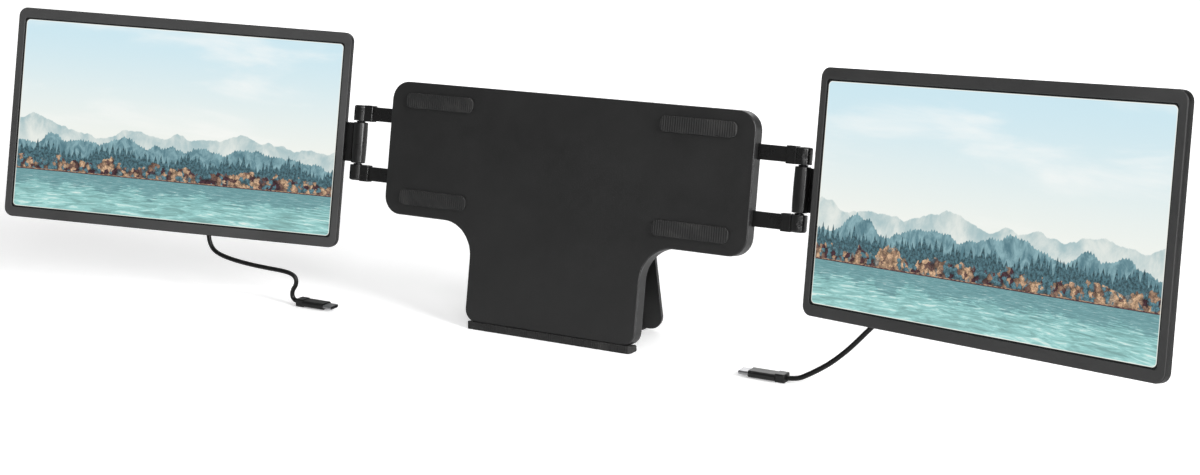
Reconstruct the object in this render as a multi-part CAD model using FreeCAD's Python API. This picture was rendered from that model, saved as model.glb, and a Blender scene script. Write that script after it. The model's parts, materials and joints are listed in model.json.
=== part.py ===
import FreeCAD, Part
import math
import os

# Screen extender: two small screens on friction hinges, one each side of a slim bracket with
# sliding arms, which stands on its foot strip and its own kickstand.
# Millimetres and degrees. +X is the user's right, +Y is away from the user, +Z is up.
# The origin is the centre of the foot strip's contact face, on the table.
# Pieces are drawn upright and then leaned back about the X axis. A screen's pieces are drawn
# with the hinge axis at x = 0, y = 0, and turned by the toe-in before they are leaned.
# The right side is drawn, and the left side is its mirror image, apart from the cables.

V = FreeCAD.Vector

# Stance
lean = 10.0
toe_in = 19.0
kick_angle = 22.0
running_gap = 0.3
pin_clearance = 0.05
seat_clearance = 0.1
nearly_half = 0.49

# Screens
screen_width = 240.0
screen_height = 144.1
screen_bottom = 38.0
screen_corner = 6.0
side_border = 5.0
bottom_border = 6.8
top_border = 7.1
window_corner = 2.2
window_bevel = 0.4
bezel_face = 0.9
bezel_depth = 3.1
bezel_round = 0.7
shell_wall = 1.4
cell_depth = 1.0
backlight_depth = 1.4
chassis_depth = 0.6
plate_windows = 4
plate_window_width = 33.6
plate_window_height = 14.4
leaf_depth = 1.5
back_wall = 1.1
back_round = 1.6
hinge_to_screen = 10.1
hinge_behind_face = 2.24

# Housing on the back of a screen, for the driver board and the sockets
housing_start = 24.0
housing_length = 150.0
housing_base = 42.0
housing_height = 66.0
housing_depth = 6.8
housing_slope = 5.0
housing_corner = 9.0
housing_round = 1.0
vent_count = 14
vent_pitch = 4.0
vent_width = 1.6
vent_height = 12.0
board_lift = 3.3
board_depth = 1.0
board_margin = 5.0
board_corner = 1.0
chip_size = 12.0
chip_height = 1.2
coil_size = 7.0
coil_height = 2.4
coil_shifts = (-24.0, -14.0, 16.0)
connector_length = 30.0
connector_width = 6.0
connector_height = 1.6
standoff_radius = 2.2
standoff_inset = 6.0

# Sockets and plugs
inner_socket = 57.0
outer_socket = 95.0
socket_width = 8.94
socket_depth = 3.2
socket_length = 7.3
socket_wall = 0.3
socket_corner = 1.4
tongue_width = 6.6
tongue_depth = 0.7
tongue_length = 4.6
shell_width = 8.25
shell_depth = 2.4
shell_length = 6.5
shell_metal = 0.3
boot_width = 11.0
boot_depth = 6.0
boot_length = 12.0
boot_corner = 2.0
relief_length = 5.0
relief_wide = 2.7
relief_narrow = 2.0
plug_width = 9.5
plug_depth = 4.2
plug_length = 17.0
plug_block = 6.0
plug_corner = 1.7
block_width = 8.0
block_depth = 5.2
cord_radius = 1.5
bend_share = 0.45

# Keys
key_radius = 4.0
key_from_end = 22.0
key_above_base = 34.0
key_proud = 0.6
key_travel = 0.5
key_flange = 1.0
rocker_length = 16.0
rocker_width = 6.0
rocker_above_base = 18.0
rocker_lip = 1.0
rocker_rise = 0.9
switch_size = 4.5
trunnion_radius = 0.6
trunnion_sink = 2.5
trunnion_length = 1.6
cradle_width = 3.0
cradle_wall = 0.6
rocker_switch_drop = 1.2

# Hinge
hinge_x = 161.2
hinge_y = 1.4
hinge_z = 109.6
barrel_radius = 5.0
barrel_height = 27.0
barrel_crown = 0.25
barrel_gap = 1.3
washer_radius = 2.9
washer_depth = 0.9
pin_radius = 1.8
knuckle_height = 10.2
knuckle_round = 1.4
knuckle_cap = 1.4
leaf_height = 26.0
leaf_root = 13.0
leaf_end = 41.0
leaf_span = 44.0
grub_angle = 28.0
grub_radius = 1.5
grub_sink = 0.35
hex_radius = 0.75

# Arms and carriages
arm_height = 9.2
arm_depth = 3.0
block_start = 150.6
block_end = 157.3
block_height = 10.7
block_thickness = 6.0
block_round = 0.9
neck_height = 7.0
slide_in = 12.0
slide_out = 45.0
carriage_start = 15.0
carriage_depth = 1.5
carriage_margin = 4.0
stop_radius = 2.0

# Bracket
half_width = 132.0
plate_bottom = 66.0
plate_top = 153.0
plate_corner = 12.0
leg_half_width = 62.0
leg_bottom = 4.0
leg_corner = 8.0
leg_blend = 22.0
bracket_front = -5.3
panel_depth = 1.5
bracket_back = 5.3
sheet = 1.2
edge_round = 2.0
panel_round = 0.8
rail_height = 2.5
rail_start = 10.0
brake_length = 11.0
brake_height = 7.0
brake_start = 61.0
brake_corner = 1.0
pad_depth = 1.4
pad_length = 52.0
pad_height = 10.0
pad_corner = 4.0
pad_inset = 12.0
pad_margin = 7.0
boss_radius = 2.6
boss_inset = 7.0
foot_half_length = 60.0
foot_half_depth = 5.5
foot_corner = 3.0

# Kickstand
kick_height = 104.0
kick_half_width = 55.0
kick_plate = 2.4
kick_corner = 10.0
kick_recess = 0.8
kick_rim = 12.0
kick_knuckle = 3.0
kick_pin = 1.5
kick_station = 40.0
kick_knuckle_length = 14.0
ear_thickness = 4.0
boot_height = 12.0
boot_wall = 1.5
boot_inset = 4.0

# Screws: shank radius, head radius, head height; and the cross recess, as shares of the head
cover_screw = (0.9, 1.7, 0.8)
leaf_screw = (0.9, 1.8, 0.9)
arm_screw = (1.1, 2.1, 0.8)
shell_screw = (1.0, 1.8, 0.8)
recess_reach = 0.6
recess_half_width = 0.13
recess_depth = 0.6

# Places that follow from the sizes above
face_y = -hinge_behind_face
cell_y = face_y + bezel_face
backlight_y = cell_y + cell_depth
chassis_y = backlight_y + backlight_depth
leaf_y = chassis_y + chassis_depth
cover_y = leaf_y + leaf_depth
back_y = cover_y + back_wall
split_y = face_y + bezel_depth
housing_y = back_y + housing_depth
board_y = leaf_y + board_lift
socket_y = board_y + board_depth

screen_x = (hinge_to_screen, hinge_to_screen + screen_width)
screen_z = (screen_bottom, screen_bottom + screen_height)
window_x = (screen_x[0] + side_border, screen_x[1] - side_border)
window_z = (screen_z[0] + bottom_border, screen_z[1] - top_border)
housing_x = (screen_x[0] + housing_start, screen_x[0] + housing_start + housing_length)
housing_z = (screen_bottom + housing_base, screen_bottom + housing_base + housing_height)
rear_x = (housing_x[0] + housing_slope, housing_x[1] - housing_slope)
rear_z = (housing_z[0], housing_z[1] - housing_slope)
board_x = (rear_x[0] + board_margin, rear_x[1] - board_margin)
board_z = (rear_z[0] + back_wall, rear_z[1] - board_margin)
key_x = rear_x[1] - key_from_end
key_z = housing_z[0] + key_above_base
rocker_z = housing_z[0] + rocker_above_base
rocker_y = housing_y - trunnion_sink
rocker_half = rocker_width / 2 + rocker_lip

arm_offset = (barrel_height + knuckle_height) / 2 + barrel_gap
arm_y = (hinge_y - arm_depth / 2, hinge_y + arm_depth / 2)
carriage_y = (arm_y[0] - carriage_depth, arm_y[0])
stop_slot = stop_radius + running_gap
carriage_length = slide_in + slide_out + 2 * stop_slot + 2 * carriage_margin
carriage_x = (carriage_start, carriage_start + carriage_length)
stop_x = carriage_x[1] - carriage_margin - stop_slot - slide_in
panel_y = bracket_front + panel_depth
inner_y = bracket_back - sheet
rail_y = (arm_y[0] + running_gap, inner_y)

kick_y = bracket_back + kick_knuckle + running_gap
kick_reach = ((kick_height * math.cos(math.radians(lean)) - kick_y * math.sin(math.radians(lean)))
              / math.cos(math.radians(kick_angle - lean)))

# Cable routes, chosen by hand, from the plug at the screen to the plug on the table
right_route = [
    (227.01, -2.14, 64.03), (227.01, -3.62, 55.66), (222.8, -2.6, 45.4), (212.5, -1.6, 34.5),
    (201.5, -2.4, 22.4), (191.0, -5.0, 13.2), (181.0, -8.2, 7.0), (173.0, -9.4, 2.8),
    (166.8, -9.4, 2.8),
]
left_route = [
    (-262.94, -14.32, 66.18), (-262.94, -15.88, 57.32), (-263.6, -16.9, 46.5), (-262.8, -17.4, 37.0),
    (-259.6, -17.4, 31.2), (-253.0, -17.2, 28.0), (-241.5, -16.6, 25.6), (-227.0, -15.9, 24.0),
    (-213.5, -15.0, 23.1), (-203.0, -14.2, 22.6), (-194.6, -13.6, 21.4), (-191.1, -13.3, 18.4),
    (-191.6, -13.1, 13.7), (-194.8, -13.0, 9.9), (-195.5, -13.0, 5.7), (-193.1, -13.0, 2.8),
    (-189.5, -13.0, 2.8),
]

tiny = 1e-4
past = 1.0


def inset(span, amount):
    return (span[0] + amount, span[1] - amount)


def about(centre, width):
    return (centre - width / 2, centre + width / 2)


def edges_along(shape, axis):
    """Edges that run straight along X, Y or Z."""
    size = axis + "Length"
    return [edge for edge in shape.Edges if abs(getattr(edge.BoundBox, size) - edge.Length) < tiny]


def edges_on(shape, axis, value):
    """Edges that lie wholly in the plane where the coordinate on axis has this value."""
    def lies_on(edge):
        box = edge.BoundBox
        ends = (getattr(box, axis + "Min"), getattr(box, axis + "Max"))
        return all(abs(end - value) < tiny for end in ends)
    return [edge for edge in shape.Edges if lies_on(edge)]


def slab(x, y, z, corner=0.0, along="Y"):
    """A block between three pairs of coordinates, its corners rounded along one axis."""
    block = Part.makeBox(x[1] - x[0], y[1] - y[0], z[1] - z[0], V(x[0], y[0], z[0]))
    if corner > 0:
        block = block.makeFillet(corner, edges_along(block, along))
    return block


def outline(x, z, y, corner):
    """The wire round a rectangle with round corners, in a plane of constant y."""
    plate = slab(x, (y, y + past), z, corner)
    face = next(face for face in plate.Faces if face.BoundBox.YMax < y + tiny)
    return face.OuterWire


def drafted(base_x, base_z, base_y, top_x, top_z, top_y, corner):
    """A block whose walls slope from one rounded rectangle to another."""
    wires = [outline(base_x, base_z, base_y, corner), outline(top_x, top_z, top_y, corner)]
    return Part.makeLoft(wires, True, True)


def rod(radius, start, end):
    return Part.makeCylinder(radius, (end - start).Length, start, end - start)


def screw(size, head_top, direction, length):
    """A pan-head screw with a cross recess. head_top is the middle of its head's outer face."""
    shank, head, height = size
    seat = head_top + direction * height
    body = rod(head, head_top, seat).fuse(rod(shank, head_top, head_top + direction * length))
    across = direction.cross(V(1, 0, 0))
    if across.Length < tiny:
        across = V(0, 0, 1)
    for side in (across, direction.cross(across)):
        bar = slab(about(0, 2 * head * recess_reach), about(0, 2 * head * recess_half_width),
                   (-past, height * recess_depth))
        bar.Placement = FreeCAD.Placement(head_top, FreeCAD.Rotation(side, direction.cross(side), direction))
        body = body.cut(bar)
    return body


def screw_hole(size, head_top, direction, length):
    """The clearance for a screw: a counterbore for its head and a hole for its shank."""
    shank, head, height = size
    above = head_top - direction * past
    bore = rod(head + seat_clearance, above, head_top + direction * height)
    return bore.fuse(rod(shank + seat_clearance, above, head_top + direction * length))


def leaned(shape):
    turned = shape.copy()
    turned.rotate(V(0, 0, 0), V(1, 0, 0), -lean)
    return turned


def toed(shape):
    """A screen's piece, from the hinge's own frame to the upright frame."""
    turned = shape.copy()
    turned.rotate(V(0, 0, 0), V(0, 0, 1), -toe_in)
    turned.translate(V(hinge_x, hinge_y, 0))
    return turned


def mirrored(shape):
    return shape.mirror(V(0, 0, 0), V(1, 0, 0))


# Screens

def front_bezel():
    frame = slab(screen_x, (face_y, split_y), screen_z, screen_corner)
    frame = frame.makeFillet(bezel_round, edges_on(frame, "Y", face_y))
    pocket = slab(inset(screen_x, shell_wall), (cell_y, split_y + past), inset(screen_z, shell_wall),
                  screen_corner - shell_wall)
    window = slab(window_x, (face_y - past, cell_y + past), window_z, window_corner)
    bevel = drafted(inset(window_x, -window_bevel), inset(window_z, -window_bevel), face_y,
                    window_x, window_z, face_y + window_bevel, window_corner)
    return frame.cut([pocket, window, bevel])


def panel_layer(front, back, margin):
    gap = shell_wall + margin
    return slab(inset(screen_x, gap), (front, back), inset(screen_z, gap), screen_corner - shell_wall)


def lcd_cell():
    return panel_layer(cell_y, backlight_y, running_gap)


def backlight():
    """The light guide in its tray, with the tray's rim left round the guide's back."""
    tray = panel_layer(backlight_y, chassis_y, running_gap)
    middle_x, middle_z = inset(screen_x, side_border), inset(screen_z, side_border)
    recess = slab(middle_x, (chassis_y - seat_clearance, chassis_y + past), middle_z, window_corner)
    return tray.cut(recess)


def cover_screw_places():
    across = inset(screen_x, side_border + cover_screw[1])
    up = inset(screen_z, side_border + cover_screw[1])
    middle = (across[0] + across[1]) / 2
    return [(x, z) for z in up for x in (across[0], middle, across[1])]


def leaf_screw_places():
    return [(x, hinge_z + z) for x in (leaf_root + leaf_screw[1] * 3, leaf_end - leaf_screw[1] * 2)
            for z in (-leaf_span / 3, leaf_span / 3)]


def standoff_places():
    across, up = inset(board_x, standoff_inset), inset(board_z, standoff_inset)
    return [(x, z) for x in across for z in up]


def chassis_plate():
    """Pressed plate behind the panel: it carries the hinge leaf, the board and the cover."""
    plate = panel_layer(chassis_y, leaf_y, running_gap)
    window_row = (screen_z[1] - 2 * plate_window_height, screen_z[1] - plate_window_height)
    pitch = (screen_width - leaf_end) / plate_windows
    for step in range(plate_windows):
        opening = about(leaf_end + pitch * (step + 0.5), plate_window_width)
        plate = plate.cut(slab(opening, (chassis_y - past, leaf_y + past), window_row, window_corner))
    for x, z in standoff_places():
        plate = plate.fuse(rod(standoff_radius, V(x, leaf_y, z), V(x, board_y, z)))
    holes = [rod(cover_screw[0] + seat_clearance, V(x, chassis_y - past, z), V(x, leaf_y + past, z))
             for x, z in cover_screw_places()]
    holes += [rod(leaf_screw[0] + seat_clearance, V(x, chassis_y - past, z), V(x, leaf_y + past, z))
              for x, z in leaf_screw_places()]
    return plate.cut(holes)


def hinge_leaf():
    """The crowned middle barrel of the hinge, rolled from a leaf that is screwed to the chassis."""
    half = barrel_height / 2
    end_radius = barrel_radius - barrel_crown
    crown = Part.Arc(V(end_radius, 0, -half), V(barrel_radius, 0, 0), V(end_radius, 0, half)).toShape()
    profile = Part.Wire([
        Part.LineSegment(V(0, 0, -half), V(end_radius, 0, -half)).toShape(), crown,
        Part.LineSegment(V(end_radius, 0, half), V(0, 0, half)).toShape(),
        Part.LineSegment(V(0, 0, half), V(0, 0, -half)).toShape()])
    barrel = Part.Face(profile).revolve(V(0, 0, 0), V(0, 0, 1), 360)
    barrel.translate(V(0, 0, hinge_z))
    barrel = barrel.makeFillet(barrel_crown * 2, edges_on(barrel, "Z", hinge_z - half)
                               + edges_on(barrel, "Z", hinge_z + half))
    tongue = slab((0, leaf_end), (leaf_y, cover_y), about(hinge_z, leaf_height))
    wide = slab((leaf_root, leaf_end), (leaf_y, cover_y), about(hinge_z, leaf_span), leaf_screw[1])
    leaf = barrel.fuse([tongue, wide]).removeSplitter()
    bore = rod(pin_radius + pin_clearance, V(0, 0, hinge_z - barrel_height), V(0, 0, hinge_z + barrel_height))
    holes = [screw_hole(leaf_screw, V(x, cover_y, z), V(0, -1, 0), leaf_depth + past)
             for x, z in leaf_screw_places()]
    return leaf.cut([bore] + holes)


def leaf_screws():
    return Part.makeCompound([screw(leaf_screw, V(x, cover_y, z), V(0, -1, 0), cover_y - chassis_y)
                              for x, z in leaf_screw_places()])


def cover_screws():
    return Part.makeCompound([screw(cover_screw, V(x, back_y, z), V(0, -1, 0), back_y - chassis_y)
                              for x, z in cover_screw_places()])


def socket_places():
    return [screen_x[0] + inner_socket, screen_x[0] + outer_socket]


def socket_centre_y():
    return socket_y + socket_depth / 2


def back_cover():
    """Rear shell with the drafted board housing, vents, socket mouths, key holes and screw bosses."""
    tray = slab(screen_x, (split_y, back_y), screen_z, screen_corner)
    tray = tray.makeFillet(back_round, edges_on(tray, "Y", back_y))
    housing = drafted(housing_x, housing_z, cover_y, rear_x, rear_z, housing_y, housing_corner)
    housing = housing.makeFillet(housing_round, edges_on(housing, "Y", housing_y))
    pocket = slab(inset(screen_x, shell_wall), (split_y - past, cover_y), inset(screen_z, shell_wall),
                  screen_corner - shell_wall)
    cavity = drafted(inset(housing_x, back_wall), inset(housing_z, back_wall), cover_y - tiny,
                     inset(rear_x, back_wall), inset(rear_z, back_wall), housing_y - back_wall,
                     housing_corner - back_wall)
    shell = tray.fuse(housing).cut([pocket, cavity])
    bosses = [rod(cover_screw[1] + shell_wall / 2, V(x, leaf_y, z), V(x, cover_y, z))
              for x, z in cover_screw_places()]
    shell = shell.fuse(bosses)
    leaf_slot = slab((screen_x[0] - past, screen_x[0] + shell_wall + past), (split_y - past, cover_y),
                     about(hinge_z, leaf_height + 2 * running_gap))
    vents_x = [(rear_x[0] + rear_x[1]) / 2 + vent_pitch * (step - (vent_count - 1) / 2)
               for step in range(vent_count)]
    vent_z = (rear_z[1] - board_margin - vent_height, rear_z[1] - board_margin)
    vents = [slab(about(x, vent_width), (cover_y, housing_y + past), vent_z, vent_width * nearly_half)
             for x in vents_x]
    mouths = [slab(about(x, socket_width + 2 * running_gap),
                   about(socket_centre_y(), socket_depth + 2 * running_gap),
                   (housing_z[0] - past, housing_z[0] + back_wall + past), socket_corner, "Z")
              for x in socket_places()]
    key_hole = rod(key_radius + running_gap, V(key_x, cover_y, key_z), V(key_x, housing_y + past, key_z))
    rocker_hole = slab(about(key_x, rocker_length + 2 * running_gap), (cover_y, housing_y + past),
                       about(rocker_z, rocker_width + 2 * running_gap), rocker_width / 2)
    screw_holes = [screw_hole(cover_screw, V(x, back_y, z), V(0, -1, 0), back_y - leaf_y + past)
                   for x, z in cover_screw_places()]
    return shell.cut([leaf_slot, key_hole, rocker_hole] + vents + mouths + screw_holes).fuse(rocker_cradles())


def rocker_cradles():
    """Two open bearings under the cover that the rocker's trunnions snap into."""
    cradles = []
    for side in (-1, 1):
        start = rocker_half + running_gap
        reach = sorted((rocker_z + side * start, rocker_z + side * (start + trunnion_length)))
        low = rocker_y - trunnion_radius - cradle_wall
        block = slab(about(key_x, cradle_width), (low, housing_y - back_wall + tiny), reach)
        bore = rod(trunnion_radius + pin_clearance, V(key_x, rocker_y, reach[0] - past),
                   V(key_x, rocker_y, reach[1] + past))
        mouth = slab(about(key_x, 2 * trunnion_radius - seat_clearance), (low - past, rocker_y),
                     inset(reach, -past))
        cradles.append(block.cut([bore, mouth]))
    return cradles


def driver_board():
    """Circuit board with its chips, coils, panel connector and the switches under the keys."""
    board = slab(board_x, (board_y, socket_y), board_z, board_corner)
    middle = (board_x[0] + board_x[1]) / 2
    chip_z = (board_z[0] + board_z[1]) / 2
    parts = [slab(about(middle, chip_size), (socket_y, socket_y + chip_height), about(chip_z, chip_size))]
    parts += [slab(about(middle + shift, coil_size), (socket_y, socket_y + coil_height),
                   about(chip_z, coil_size), board_corner) for shift in coil_shifts]
    parts.append(slab(about(middle, connector_length), (socket_y, socket_y + connector_height),
                      about(board_z[1] - connector_width, connector_width)))
    switch_top = housing_y - back_wall - running_gap - key_flange - key_travel - seat_clearance
    parts.append(slab(about(key_x, switch_size), (socket_y, switch_top), about(key_z, switch_size)))
    rocker_switch = rocker_y - rocker_switch_drop
    parts += [slab(about(key_x + side * rocker_length / 3, switch_size), (socket_y, rocker_switch),
                   about(rocker_z, switch_size)) for side in (-1, 1)]
    return board.fuse(parts)


def port_sockets():
    """Two upright socket shells on the board's lower edge, each with its tongue."""
    base = housing_z[0] + running_gap
    sockets = []
    for x in socket_places():
        centre = socket_centre_y()
        shell = slab(about(x, socket_width), about(centre, socket_depth), (base, base + socket_length),
                     socket_corner, "Z")
        bore = slab(about(x, socket_width - 2 * socket_wall), about(centre, socket_depth - 2 * socket_wall),
                    (base - past, base + socket_length - past), socket_corner - socket_wall, "Z")
        tongue = slab(about(x, tongue_width), about(centre, tongue_depth),
                      (base + socket_length - past - tongue_length, base + socket_length))
        sockets.append(shell.cut(bore).fuse(tongue))
    return Part.makeCompound(sockets)


def power_key():
    """Round key with a flange that the cover traps."""
    top = housing_y + key_proud
    under = housing_y - back_wall - running_gap
    cap = rod(key_radius, V(key_x, under - key_flange, key_z), V(key_x, top, key_z))
    cap = cap.makeFillet(key_proud / 2, edges_on(cap, "Y", top))
    flange = rod(key_radius + key_flange, V(key_x, under - key_flange, key_z), V(key_x, under, key_z))
    return cap.fuse(flange)


def menu_rocker():
    """Long key that rocks on two trunnions, with a lip under the cover."""
    top = housing_y + key_proud
    under = housing_y - back_wall - rocker_rise
    reach = rocker_half + running_gap + trunnion_length
    trunnions = rod(trunnion_radius, V(key_x, rocker_y, rocker_z - reach),
                    V(key_x, rocker_y, rocker_z + reach))
    bar = slab(about(key_x, rocker_length), (under - key_flange, top), about(rocker_z, rocker_width),
               rocker_width / 2 - running_gap)
    bar = bar.makeFillet(key_proud / 2, edges_on(bar, "Y", top))
    dip_y = top + rocker_length - key_proud / 2
    dip = rod(rocker_length, V(key_x, dip_y, rocker_z - rocker_width),
              V(key_x, dip_y, rocker_z + rocker_width))
    lip = slab(about(key_x, rocker_length + 2 * rocker_lip), (under - key_flange, under),
               about(rocker_z, 2 * rocker_half), rocker_width / 2)
    return bar.cut(dip).fuse([lip, trunnions])


def screen_plug(x):
    """Moulded boot and strain relief of the cable's plug at the screen."""
    centre = socket_centre_y()
    top = housing_z[0] - running_gap
    low = top - boot_length
    boot = slab(about(x, boot_width), about(centre, boot_depth), (low, top), boot_corner, "Z")
    boot = boot.makeFillet(boot_corner / 3, edges_on(boot, "Z", low))
    relief = Part.makeCone(relief_wide, relief_narrow, relief_length, V(x, centre, low), V(0, 0, -1))
    grooves = []
    for step in (1, 2, 3):
        z = low - relief_length * step / 4
        ring = rod(relief_wide, V(x, centre, z), V(x, centre, z - relief_length / 10))
        core = rod(relief_narrow - seat_clearance, V(x, centre, z + past), V(x, centre, z - past))
        grooves.append(ring.cut(core))
    return boot.fuse(relief.cut(grooves))


def plug_shell():
    """Metal shell of a cable's plug, drawn upright with its root at the origin."""
    corner = shell_depth * nearly_half
    outer = slab(about(0, shell_width), about(0, shell_depth), (0, shell_length), corner, "Z")
    bore = slab(about(0, shell_width - 2 * shell_metal), about(0, shell_depth - 2 * shell_metal),
                (shell_metal, shell_length + past), corner - shell_metal, "Z")
    return outer.cut(bore)


def laptop_plug(end, side):
    """Slim plug that lies on the table: flat body, then a thicker block that the cable enters."""
    block_x = sorted((end.x, end.x - side * plug_block))
    body_x = sorted((end.x - side * plug_block, end.x - side * (plug_block + plug_length)))
    block = slab(block_x, about(end.y, block_width), about(end.z, block_depth), boot_corner / 2, "X")
    block = block.makeFillet(boot_corner / 4, edges_on(block, "X", end.x))
    body = slab(body_x, about(end.y, plug_width), about(end.z, plug_depth), plug_corner, "X")
    return block.fuse(body)


def laid_shell(end, side):
    shell = plug_shell()
    shell.rotate(V(0, 0, 0), V(0, 0, 1), 90)
    shell.rotate(V(0, 0, 0), V(0, 1, 0), -90 * side)
    shell.translate(V(end.x - side * (plug_block + plug_length), end.y, end.z))
    return shell


# Cables

def cable(route, name):
    """A round tube on straight runs, with the largest tangent arc that fits at each corner."""
    points = [V(*point) for point in route]
    edges = []
    start = points[0]
    radii = []
    for before, corner, after in zip(points, points[1:], points[2:]):
        back, ahead = (before - corner), (after - corner)
        turn = math.pi - back.getAngle(ahead)
        cut = bend_share * min(back.Length, ahead.Length)
        radii.append(cut / math.tan(turn / 2))
        back.normalize()
        ahead.normalize()
        enter, leave = corner + back * cut, corner + ahead * cut
        bisector = back + ahead
        bisector.normalize()
        crest = corner + bisector * radii[-1] * (1 / math.cos(turn / 2) - 1)
        edges.append(Part.LineSegment(start, enter).toShape())
        edges.append(Part.Arc(enter, crest, leave).toShape())
        start = leave
    edges.append(Part.LineSegment(start, points[-1]).toShape())
    path = Part.Wire(edges)
    ring = Part.Wire(Part.Circle(points[0], points[1] - points[0], cord_radius).toShape())
    tube = path.makePipeShell([ring], True, False)
    expected = math.pi * cord_radius ** 2 * path.Length
    print(name, "length", round(path.Length, 1), "mm, radii", [round(radius, 1) for radius in radii])
    print(name, "volume over section times length", round(tube.Volume / expected, 4))
    return tube


# Hinge pin, arms and carriages

def knuckle_z(side):
    """Height span of the upper (side 1) or lower (side -1) knuckle."""
    return about(hinge_z + side * arm_offset, knuckle_height)


def grub_direction():
    angle = math.radians(grub_angle)
    return V(math.sin(angle), -math.cos(angle), 0)


def arm(side):
    """One arm: a flat bar that slides in the bracket, an end block, a neck and a hinge knuckle."""
    middle = hinge_z + side * arm_offset
    low, high = knuckle_z(side)
    bar = slab((carriage_x[0], block_start + past), arm_y, about(middle, arm_height))
    block = slab((block_start, block_end), about(hinge_y, block_thickness), about(middle, block_height),
                 block_round, "Z")
    neck = slab((block_end - past, hinge_x), arm_y, about(middle, neck_height))
    knuckle = rod(barrel_radius, V(hinge_x, hinge_y, low), V(hinge_x, hinge_y, high))
    cap_z = high if side > 0 else low
    knuckle = knuckle.makeFillet(knuckle_round, edges_on(knuckle, "Z", cap_z))
    body = bar.fuse([block, neck, knuckle]).removeSplitter()
    pin_end = V(hinge_x, hinge_y, cap_z - side * knuckle_cap)
    bore = rod(pin_radius + pin_clearance, V(hinge_x, hinge_y, middle - side * knuckle_height), pin_end)
    centre = V(hinge_x, hinge_y, middle)
    grub_hole = rod(grub_radius + seat_clearance, centre, centre + grub_direction() * 2 * barrel_radius)
    holes = [rod(arm_screw[0] + seat_clearance, V(x, arm_y[0] - past, z), V(x, arm_y[1] - seat_clearance, z))
             for x, z in arm_screw_places() if abs(z - middle) < arm_height]
    return body.cut([bore, grub_hole] + holes)


def hinge_pin():
    low = knuckle_z(-1)[0] + knuckle_cap + seat_clearance
    high = knuckle_z(1)[1] - knuckle_cap - seat_clearance
    pin = rod(pin_radius, V(hinge_x, hinge_y, low), V(hinge_x, hinge_y, high))
    return pin.makeChamfer(seat_clearance * 3, edges_on(pin, "Z", low) + edges_on(pin, "Z", high))


def hinge_washers():
    """Friction washers between the barrel and the knuckles, resting on the piece below."""
    washers = []
    for low in (knuckle_z(-1)[1], hinge_z + barrel_height / 2 + pin_clearance * 2):
        disc = rod(washer_radius, V(hinge_x, hinge_y, low), V(hinge_x, hinge_y, low + washer_depth))
        bore = rod(pin_radius + pin_clearance, V(hinge_x, hinge_y, low - past),
                   V(hinge_x, hinge_y, low + 2 * past))
        washers.append(disc.cut(bore))
    return Part.makeCompound(washers)


def grub_screws():
    screws = []
    for side in (-1, 1):
        centre = V(hinge_x, hinge_y, hinge_z + side * arm_offset)
        tip = centre + grub_direction() * (pin_radius + pin_clearance)
        head = centre + grub_direction() * (barrel_radius - grub_sink)
        socket = rod(hex_radius, centre + grub_direction() * (barrel_radius - 4 * grub_sink), head)
        screws.append(rod(grub_radius, tip, head).cut(socket))
    return Part.makeCompound(screws)


def arm_screw_places():
    across = inset(carriage_x, carriage_margin)
    return [(x, hinge_z + side * arm_offset) for x in across for side in (-1, 1)]


def carriage():
    """Plate that ties the two arms of one side, with the slot that limits their travel."""
    half_span = arm_offset + arm_height / 2
    plate = slab(carriage_x, carriage_y, about(hinge_z, 2 * half_span), carriage_margin / 2)
    slot = slab((stop_x - slide_out - stop_slot, stop_x + slide_in + stop_slot),
                (carriage_y[0] - past, carriage_y[1] + past), about(hinge_z, 2 * stop_slot),
                2 * stop_slot * nearly_half)
    holes = [rod(arm_screw[0] + seat_clearance, V(x, carriage_y[0] - past, z), V(x, carriage_y[1] + past, z))
             for x, z in arm_screw_places()]
    return plate.cut([slot] + holes)


def arm_screws():
    front = carriage_y[0] - arm_screw[2]
    length = arm_y[1] - front - 2 * seat_clearance
    return Part.makeCompound([screw(arm_screw, V(x, front, z), V(0, 1, 0), length)
                              for x, z in arm_screw_places()])


# Bracket

def bracket_plate(y, margin=0.0):
    """The bracket's T-shaped outline with blended inner corners, drawn inwards by margin."""
    plate = slab(inset((-half_width, half_width), margin), y, inset((plate_bottom, plate_top), margin),
                 plate_corner - margin)
    leg_x = inset((-leg_half_width, leg_half_width), margin)
    leg = slab(leg_x, y, (leg_bottom + margin, plate_top - plate_corner))
    feet = [edge for edge in edges_along(leg, "Y") if edge.BoundBox.ZMax < leg_bottom + margin + tiny]
    leg = leg.makeFillet(leg_corner - margin, feet)
    body = plate.fuse(leg).removeSplitter()
    inner = [edge for edge in edges_along(body, "Y")
             if abs(edge.BoundBox.ZMin - plate_bottom - margin) < tiny
             and abs(abs(edge.BoundBox.XMin) - leg_x[1]) < tiny]
    return body.makeFillet(leg_blend + margin, inner)


def boss_places():
    up = inset((plate_bottom, plate_top), boss_inset)
    across = inset((-half_width, half_width), boss_inset)
    foot_x = inset((-leg_half_width, leg_half_width), boss_inset)
    places = [(x, z) for x in across for z in up]
    places += [(x, leg_bottom + boss_inset) for x in foot_x]
    return places + [(0.0, up[1])]


def rail_places():
    """Lower edge of each slide rail: one below and one above every arm."""
    lows = []
    for side in (-1, 1):
        middle = hinge_z + side * arm_offset
        lows.append(middle - arm_height / 2 - running_gap - rail_height)
        lows.append(middle + arm_height / 2 + running_gap)
    return lows


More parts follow.
